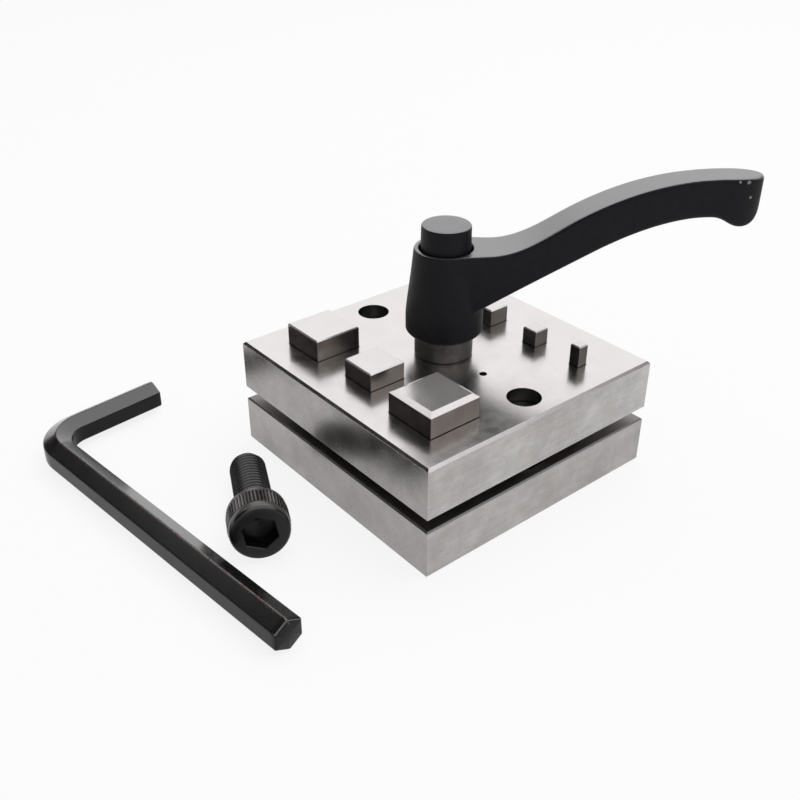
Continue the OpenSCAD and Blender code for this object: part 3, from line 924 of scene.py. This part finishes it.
@dataclass
class Lever:
    """Cast clamping lever: tapered hub with an S-shaped arm, its recess and its toothed hollow."""

    shop: Workshop
    azimuth: float = -38.5
    reach: float = 79.55
    rise: float = 43.58
    hub_h: float = 24.1
    hub_r: float = 10.5
    hub_top_r: float = 8.5
    hub_foot_h: float = 4.5
    hub_bevel: float = 0.8
    hub_swell: float = 0.18
    recess_r: float = 7.2
    recess_mouth: float = 0.22
    seat_h: float = 11.0
    web_h: float = 7.3
    web_bore: float = 3.06
    hollow_r: float = 8.06
    hollow_h: float = 3.8
    teeth: int = 16
    tooth_tip_r: float = 7.55
    tooth_root_r: float = 6.35
    tooth_overlap: float = 0.5
    arm_half: float = 4.9
    arm_swell: float = 1.1
    arm_step: float = 0.2
    swell_span: Flat = (0.27, 0.6)
    grip_x: float = 62.0
    tip_w: float = 4.4
    tip_l: float = 8.0
    tip_z: float = 36.2
    tip_ease: float = 0.65
    top_round: float = 1.0
    low_round: float = 1.3
    top: tuple[Knot, ...] = (Knot(11.0, hub_h, after=0.4), Knot(33.6, 33.9, 0.55, 0.3, 0.3),
                             Knot(70.0, rise, before=0.38))
    root: Flat = (6.0, 7.1)
    under: tuple[Knot, ...] = (Knot(37.2, 24.26, 0.55, after=0.32),
                               Knot(66.7, 33.4, before=0.34, after=0.45),
                               Knot(75.1, 30.7, before=0.45))
    core_r: float = 0.5
    cutter_core_r: float = 0.4
    cutter_over: float = 2.0
    voxel: float = 0.27
    columns: int = 128
    chips: tuple[tuple[Point, float], ...] = (
        ((72.4, -4.82, 43.0), 0.5), ((74.6, -4.5, 42.8), 0.55), ((75.7, -4.2, 38.8), 0.5),
        ((49.9, -5.37, 40.9), 0.4))

    def build(self) -> None:
        """Builds the casting, cuts its hollows and dresses it."""
        place = (Matrix.Translation((0, 0, heights("lever")[0]))
                 @ Matrix.Rotation(math.radians(self.azimuth), 4, "Z"))
        piece = self._hub().skin(self._arm()).make("cast_lever", place)
        remesh = piece.modifiers.new("union", "REMESH")
        remesh.mode = "VOXEL"
        remesh.voxel_size = self.voxel * MM
        soft = piece.modifiers.new("soft_edges", "SMOOTH")
        soft.factor = 0.5
        soft.iterations = 5
        cutters = [self._bore().make("bore_cutter", place),
                   self._tooth_hollow().make("tooth_cutter", place)]
        for cutter in cutters:
            cut = piece.modifiers.new(cutter.name, "BOOLEAN")
            cut.operation = "DIFFERENCE"
            cut.solver = "EXACT"
            cut.object = cutter
        done = piece.evaluated_get(bpy.context.evaluated_depsgraph_get())
        mesh = bpy.data.meshes.new_from_object(done)
        piece.modifiers.clear()
        piece.data = mesh
        smooth(mesh, sharp=38.0)
        for cutter in cutters:
            bpy.data.objects.remove(cutter)
        chips = tuple((tuple(MM * (place @ Vector(spot))), radius) for spot, radius in self.chips)
        coat = BlackCoat("coated_lever", chips=chips)
        self.shop.hand_over(piece, coat, "lever", "lever_coat", "lever")

    def _hub(self) -> Shell:
        """Makes the solid hub.

        Returns:
            The hub's shell.
        """
        taper, bevel = self.hub_h - self.hub_foot_h, self.hub_bevel / 2
        waist = cubic(((self.hub_r, self.hub_foot_h),
                       (self.hub_r, self.hub_foot_h + self.hub_swell * taper),
                       (self.hub_top_r + self.hub_bevel, self.hub_h - taper / 2),
                       (self.hub_top_r, self.hub_h - bevel)), count=16)
        profile = [(self.core_r, 0.0), (self.hub_r - self.hub_bevel, 0.0),
                   (self.hub_r, self.hub_bevel), *(tuple(point.tolist()) for point in waist),
                   (self.hub_top_r - bevel / 2, self.hub_h), (self.core_r, self.hub_h)]
        return Shell().skin(turned(profile, self.columns))

    def _arm(self) -> list[Ring]:
        """Makes the sections of the arm.

        Returns:
            Their rings, from inside the hub to the tip.
        """
        hook, wide, start = self.under[-1], self.arm_half + self.arm_swell, self.reach - self.tip_l
        back, drop = self.tip_ease * (self.reach - hook.x), self.tip_ease * (self.tip_z - hook.z)
        top = [(0.0, self.hub_h), *curve(self.top), (self.reach, self.rise)]
        under = [(0.0, self.root[1]), self.root, *curve(self.under),
                 *cubic((hook[:2], (hook.x + back, hook.z), (self.reach, self.tip_z - drop),
                         (self.reach, self.tip_z)), count=16)]
        swells = [(share * self.grip_x, wide) for share in self.swell_span]
        turns = np.linspace(0.0, math.pi / 2, num=30)
        plan = [*cubic(((0.0, self.hub_top_r - self.arm_step), *swells,
                        (self.grip_x, self.arm_half)), count=30),
                *((start + self.tip_l * math.sin(a), self.arm_half - self.tip_w * (1 - math.cos(a)))
                  for a in turns)]
        along = np.concatenate([np.linspace(0.0, start, num=74),
                                start + self.tip_l * np.sin(turns[1:])])
        highs, lows, halves = (np.interp(along, *np.array(line).T) for line in (top, under, plan))
        leans = np.hypot(1.0, np.gradient(halves, along))
        return [self._section(*map(float, row)) for row in zip(along, halves, leans, highs, lows)]

    def _section(self, x: float, half: float, lean: float, high: float, low: float) -> Ring:
        """Makes one section of the arm with rounded corners.

        Args:
            x: distance along the arm.
            half: half of the arm's width there.
            lean: how much longer a level cut across the arm is than one square to its side.
            high: level of the top.
            low: level of the underside.

        Returns:
            The ring, along the underside and back along the top.
        """
        ring: Ring = []
        sliver = 0.01
        for radius, level, side in ((self.low_round, low, 1), (self.top_round, high, -1)):
            reach = max(-1.0, 1.0 - (half - sliver) / (lean * radius))
            turns = np.linspace(0.0, min(math.pi / 2, math.acos(reach)), num=7)
            corner = [(half - lean * radius * (1 - math.cos(a)),
                       level + side * radius * (1 - math.sin(a))) for a in turns]
            ring += [(x, -side * y, z) for y, z in corner]
            ring += [(x, side * y, z) for y, z in reversed(corner)]
        return ring

    def _bore(self) -> Shell:
        """Makes the cutter of the button's recess, the web's bore and the collar's hollow.

        Returns:
            The cutter's shell.
        """
        core, over, mouth = self.cutter_core_r, self.cutter_over, self.recess_mouth
        return Shell().skin(turned([
            (core, -over), (self.hollow_r, -over), (self.hollow_r, self.hollow_h),
            (self.web_bore, self.hollow_h), (self.web_bore, self.seat_h),
            (self.recess_r, self.seat_h), (self.recess_r, self.hub_h - mouth),
            (self.recess_r + mouth + over, self.hub_h + over), (core, self.hub_h + over)],
            self.columns))

    def _tooth_hollow(self) -> Shell:
        """Makes the cutter of the hollow for the index teeth.

        Returns:
            The cutter's shell.
        """
        turn = math.radians(-self.azimuth)
        radii = (self.tooth_tip_r, self.tooth_root_r) * self.teeth
        corners = [(r * math.cos(a + turn), r * math.sin(a + turn))
                   for r, a in zip(radii, even_turns(2 * self.teeth))]
        return Shell().skin([[(x, y, z) for x, y in corners]
                             for z in (self.hollow_h - self.tooth_overlap, self.web_h)])


@dataclass
class CapScrew:
    """Loose socket head cap screw, lying on the rim of its head and on the end of its thread."""

    shop: Workshop
    seat: Point = (-63.8, -1.5, 0.0)
    yaw: float = 63.9
    roll: float = 230.0
    head_r: float = 8.0
    head_h: float = 10.0
    plain_r: float = 7.8
    shoulder: tuple[Flat, ...] = ((5.25, 0.0), (6.75, 0.0), (7.12, 0.12), (7.42, 0.4),
                                  (7.63, 0.8), (7.74, 1.25), (7.8, 1.8))
    heel: tuple[Flat, ...] = ((7.8, -0.5), (7.3, 0.0), (5.2, 0.0), (4.75, 0.12))
    knurl_depth: float = 0.4
    knurl_start: float = 2.8
    knurl_end: float = 2.0
    knurl_run: float = 0.3
    socket_af: float = 8.0
    socket_depth: float = 5.0
    drill_point: tuple[Flat, ...] = ((0.3, 1.0), (3.4, 0.05))
    socket_rings: tuple[Flat, ...] = ((5.0, -0.05), (0.32, 0.0), (0.02, 0.22))
    length: float = 25.0
    neck: float = 0.6
    chamfer: float = 0.9
    tail: float = 2.4
    thread: Thread = Thread()
    thread_middle: float = 0.24
    thread_contrast: float = 2.6
    # Rub of the thread's crests and of the head's shoulder band, painted as bare metal: partly
    # wear, partly painted highlight.
    crest_rub_and_highlight: float = 0.42
    worn_and_highlight_band: float = 0.25

    def build(self) -> None:
        """Builds the screw and dresses it."""
        tilt = math.atan((self.head_r - self.thread.radius) / self.length)
        place = (Matrix.Translation(self.seat) @ Matrix.Rotation(math.radians(self.yaw), 4, "Z")
                 @ Matrix.Rotation(math.pi / 2 + tilt, 4, "Y")
                 @ Matrix.Translation((-self.head_r, 0, 0)))
        rings = self._socket() + self._head() + self.thread.rings(
            self.neck, self.length, self.chamfer, self.tail)
        rubs = [[self._rub(*point) for point in ring] for ring in rings]
        piece = Shell().skin(rings, rubs).make("loose_cap_screw", place, sharp=44.0)
        # Crests, knurl ridges and the shoulder band are painted bright rubbed metal: partly wear,
        # partly painted highlight.
        oxide = BlackOxide("oxide_screw", rubbed=(0.3, 0.276, 0.27), rub_metal=1.0, breakup=0.14,
                           haze=0.45, roughness=0.3, specular=0.3)
        self.shop.hand_over(piece, oxide, "cap_screw", "black_screw", "cap_screw")

    def _rub(self, x: float, y: float, z: float) -> float:
        """Tells ridges and grooves of the screw apart.

        Args:
            x: first part of a point on the screw.
            y: second part.
            z: height along the screw, 0 under its head.

        Returns:
            Above 0 where the point is rubbed, painted as bare metal that is partly wear and partly
            painted highlight, below 0 where it lies in a groove.
        """
        radius, thread, slack = math.hypot(x, y), self.thread, 0.01
        if z > 0:
            proud = radius - thread.radius + self.thread_middle * thread.depth
            return max(-1.0, min(self.crest_rub_and_highlight, self.thread_contrast * proud / thread.depth))
        if abs(radius - self.head_r + self.knurl_depth) < slack:
            return -1.0
        # Knurl ridges: full rub, bright metal that is partly wear, partly painted highlight.
        if radius > self.head_r - slack:
            return 1.0
        return self.crest_rub_and_highlight if radius > self.plain_r - self.worn_and_highlight_band else 0.0

    def _hexagon(self, z: float, grow: float) -> Ring:
        """Makes a ring that follows the socket's hexagon.

        Args:
            z: height along the screw.
            grow: how far it lies outside the hexagon.

        Returns:
            The ring.
        """
        half = self.socket_af / 2 + grow
        turns = [(math.degrees(a) - self.roll) % 60.0 - 30.0
                 for a in even_turns(self.thread.columns)]
        return level_ring([half / math.cos(math.radians(turn)) for turn in turns], z)

    def _socket(self) -> list[Ring]:
        """Makes the socket.

        Returns:
            Its rings, from the drill point out to the face.
        """
        face = -self.head_h
        floor = face + self.socket_depth
        drill = [(radius, floor + depth) for radius, depth in self.drill_point]
        return (turned(drill, self.thread.columns)
                + [self._hexagon(face + depth, grow) for depth, grow in self.socket_rings])

    def _head(self) -> list[Ring]:
        """Makes the face, the shoulder, the knurl, the plain heel and the neck.

        Returns:
            Their rings in that order.
        """
        face, columns = -self.head_h, self.thread.columns
        first, last = face + self.knurl_start, -self.knurl_end
        shoulder = [(radius, face + depth) for radius, depth in self.shoulder]
        shoulder.append((self.plain_r, first - self.knurl_run))
        heel = [(self.plain_r, last + self.knurl_run), *self.heel]
        ridges = [self.head_r, self.head_r - self.knurl_depth] * (columns // 2)
        knurl = [level_ring(ridges, z) for z in (first, last)]
        return turned(shoulder, columns) + knurl + turned(heel, columns)


@dataclass
class HexKey:
    """Loose hex key: a six-sided bar bent at a right angle, lying on one corner."""

    shop: Workshop
    place: Flat = (-90.6, 69.6)
    yaw: float = -84.0
    radius: float = 4.6188
    rounding: float = 0.42
    corner: tuple[Point, ...] = (
        (-30, -1.1, 0.0), (-30, -0.3, 0.4), (-30, 0.0, 0.7), (-15, 0.0, 1.0), (0, 0.0, 1.0),
        (15, 0.0, 1.0), (30, 0.0, 0.7), (30, 0.3, 0.4), (30, 1.1, 0.0))
    long_arm: float = 108.8
    short_arm: float = 37.0
    bend: float = 10.5
    end_chamfer: float = 0.45
    end_plain: float = 2.0
    skin_gap: float = 0.012
    side_rub: float = 0.35
    arc_steps: int = 24

    def build(self) -> None:
        """Builds the key and dresses it."""
        place = (Matrix.Translation((*self.place, self.radius))
                 @ Matrix.Rotation(math.radians(self.yaw), 4, "Z"))
        rings, rubs = self._rings()
        piece = Shell().skin(rings, rubs).make("bent_hex_key", place, sharp=60.0)
        weighted = piece.modifiers.new("flat_sides", "WEIGHTED_NORMAL")
        weighted.keep_sharp = True
        weighted.weight = 90
        self.shop.hand_over(piece, BlackOxide("oxide_key"), "hex_key", "black_key", "hex_key")

    def _section(self, scale: float) -> list[Point]:
        """Makes the rounded hexagon, standing on a corner.

        Args:
            scale: its size.

        Returns:
            The sideways and upward distance and the rub of each point.
        """
        points: list[Point] = []
        inner = self.radius - self.skin_gap - self.rounding / math.cos(math.radians(30))
        for k in range(6):
            middle = cmath.rect(scale, math.radians(90 + 60 * k))
            worn = self.side_rub if k else 1.0
            for turn, along, rub in self.corner:
                edge = cmath.rect(1.0, math.radians(turn)) * complex(self.rounding, along)
                spot = middle * (inner + edge)
                points.append((spot.real, spot.imag, worn * rub))
        return points

    def _stops(self) -> list[Point]:
        """Finds where the sections along the bent bar stand.

        Returns:
            Their places, and their headings in degrees.
        """
        end_x, end_y = self.long_arm - self.skin_gap, self.short_arm - self.skin_gap
        long = [end_x, end_x - self.end_chamfer,
                *np.linspace(self.long_arm - self.end_plain, self.bend, num=40).tolist()]
        short = [*np.linspace(self.bend, self.short_arm - self.end_plain, num=14).tolist(),
                 end_y - self.end_chamfer, end_y]
        stops = [(x, 0.0, -90.0) for x in long]
        for heading in (-90.0 - 90.0 * i / self.arc_steps for i in range(1, self.arc_steps)):
            a = math.radians(heading)
            stops.append((self.bend * (1 + math.cos(a)), self.bend * (1 + math.sin(a)), heading))
        return stops + [(0.0, y, -180.0) for y in short]

    def _rings(self) -> tuple[list[Ring], list[list[float]]]:
        """Puts the sections in their places.

        Returns:
            The rings, and how rubbed their points are.
        """
        rings: list[Ring] = []
        rubs: list[list[float]] = []
        stops, small = self._stops(), 1.0 - self.end_chamfer / self.radius
        for i, (x, y, heading) in enumerate(stops):
            section = self._section(small if i in (0, len(stops) - 1) else 1.0)
            out = math.radians(heading)
            rings.append([(x + side * math.cos(out), y + side * math.sin(out), up)
                          for side, up, _ in section])
            rubs.append([rub for _, _, rub in section])
        return rings, rubs


@dataclass
class Studio:
    """Plain pale floor, soft light and the camera of the photograph."""

    eye: Point = (-163.43, -179.26, 167.5)
    yaw: float = 50.64
    pitch: float = 31.25
    focal: float = 1000.9
    middle: Flat = (397.4, 387.9)
    picture: float = 800.0
    floor_size: float = 6.0
    floor_drop: float = 0.02 * MM
    floor_seen: float = 0.85
    floor_mirrored: float = 0.75
    world_fill: float = 0.4
    right_screen: tuple[float, ...] = (-0.45, -0.8, 0.0, 0.85)
    front_screen: tuple[float, ...] = (0.3, 0.75, 0.0, 0.6)
    low_foot: Flat = (0.2, 0.32)
    low_top: Flat = (0.52, 0.59)
    left_screen: tuple[float, ...] = (0.27, 0.5, 0.0, 0.98)
    tall_foot: Flat = (0.12, 0.2)
    tall_top: Flat = (0.9, 0.97)
    card_way: Point = (-0.235, 0.645, 0.727)
    card_edge: Flat = (0.981, 0.991)
    lamp_way: Point = (0.32, -0.05, 0.946)
    lamp_far: float = 1.2

    def build(self) -> None:
        """Makes the camera, the floor, the world and the lamp."""
        bpy.context.scene.view_settings.view_transform = "Standard"
        self._camera()
        self._floor()
        self._world()
        self._lamp()

    def _camera(self) -> None:
        """Adds the camera."""
        yaw, pitch = math.radians(self.yaw), math.radians(self.pitch)
        ahead = Vector((math.cos(pitch) * math.cos(yaw), math.cos(pitch) * math.sin(yaw),
                        -math.sin(pitch)))
        right = Vector((math.sin(yaw), -math.cos(yaw), 0.0))
        lens = bpy.data.cameras.new("camera")
        lens.sensor_width = 36.0
        lens.lens = self.focal / self.picture * lens.sensor_width
        lens.shift_x = (self.picture / 2 - self.middle[0]) / self.picture
        lens.shift_y = (self.middle[1] - self.picture / 2) / self.picture
        lens.clip_start = 0.01
        camera = bpy.data.objects.new("camera", lens)
        turn = Matrix((right, right.cross(ahead), -ahead)).transposed().to_4x4()
        camera.matrix_world = Matrix.Translation(Vector(self.eye) * MM) @ turn
        bpy.context.scene.collection.objects.link(camera)
        bpy.context.scene.camera = camera

    def _floor(self) -> None:
        """Adds the floor, which is nearly white and keeps the shadow."""
        half = self.floor_size / 2
        mesh = bpy.data.meshes.new("floor")
        corners = [(-half, -half, 0), (half, -half, 0), (half, half, 0), (-half, half, 0)]
        mesh.from_pydata(corners, [], [(0, 1, 2, 3)])
        floor = bpy.data.objects.new("floor", mesh)
        floor.location.z = -self.floor_drop
        bpy.context.scene.collection.objects.link(floor)
        paint = Paint("floor_white", {})
        paint.set(Base_Color=(0.93, 0.93, 0.93), Roughness=0.9, Specular_IOR_Level=0.0)
        rays = paint.add("LightPath")
        mirrored = paint.highest(rays[Ray.GLOSSY.value], rays[Ray.TRANSMISSION.value])
        share = paint.scaled(rays[Ray.CAMERA.value], self.floor_seen,
                             paint.product(mirrored, self.floor_mirrored))
        glow = paint.add("Emission", {"Strength": 1.0})[0]
        mix = paint.add("MixShader", {0: share, 1: paint.shader.outputs[0], 2: glow})[0]
        paint.feed(paint.tree.nodes["Material Output"].inputs["Surface"], mix)
        mesh.materials.append(paint.material)

    def _world(self) -> None:
        """Sets white surroundings with dark screens on three sides and one bright card."""
        world = bpy.context.scene.world = bpy.data.worlds.new("studio")
        world.use_nodes = True
        graph = Graph(world.node_tree)
        yaw = math.radians(self.yaw)
        way = graph.add("TexCoord")["Generated"]
        level = graph.dot(way, (0.0, 0.0, 1.0))
        left = graph.dot(way, (-math.sin(yaw), math.cos(yaw), 0.0))
        front = graph.dot(way, (-math.cos(yaw), -math.sin(yaw), 0.0))
        low = graph.product(graph.highest(graph.ramp(left, *self.right_screen),
                                          graph.ramp(front, *self.front_screen)),
                            graph.ramp(level, *self.low_foot), graph.fall(level, *self.low_top))
        card = graph.ramp(graph.dot(way, self.card_way), *self.card_edge)
        tall = graph.product(graph.ramp(left, *self.left_screen),
                             graph.ramp(level, *self.tall_foot),
                             graph.fall(level, *self.tall_top), graph.rest(card))
        rays = graph.add("LightPath")
        glossy = rays[Ray.GLOSSY.value]
        seen = graph.highest(rays[Ray.CAMERA.value], rays[Ray.TRANSMISSION.value])
        mirrored = graph.product(glossy, graph.rest(graph.highest(low, tall)))
        other = graph.rest(graph.highest(seen, glossy))
        back = world.node_tree.nodes["Background"].inputs
        graph.feed(back["Strength"],
                   graph.highest(seen, graph.scaled(other, self.world_fill, mirrored)))
        graph.feed(back["Color"], (1.0, 1.0, 1.0))

    def _lamp(self) -> None:
        """Adds one large soft lamp above the cutter."""
        light = bpy.data.lights.new("soft_box", "AREA")
        light.shape = "DISK"
        light.size = 1.6
        light.energy = 11.0
        lamp = bpy.data.objects.new("soft_box", light)
        lamp.location = Vector(self.lamp_way) * self.lamp_far
        lamp.rotation_euler = (-lamp.location).to_track_quat("-Z", "Y").to_euler()
        lamp.visible_glossy = False
        bpy.context.scene.collection.objects.link(lamp)


def main() -> None:
    """Builds every sub-assembly in order."""
    logging.basicConfig(level=logging.INFO, format="%(message)s")
    shop = Workshop()
    Studio().build()
    for kind in (Plates, LiftSprings, Clamp, Lever, CapScrew, HexKey):
        kind(shop).build()
        LOG.info("%s done", kind.__name__)


if __name__ == "__main__":
    main()
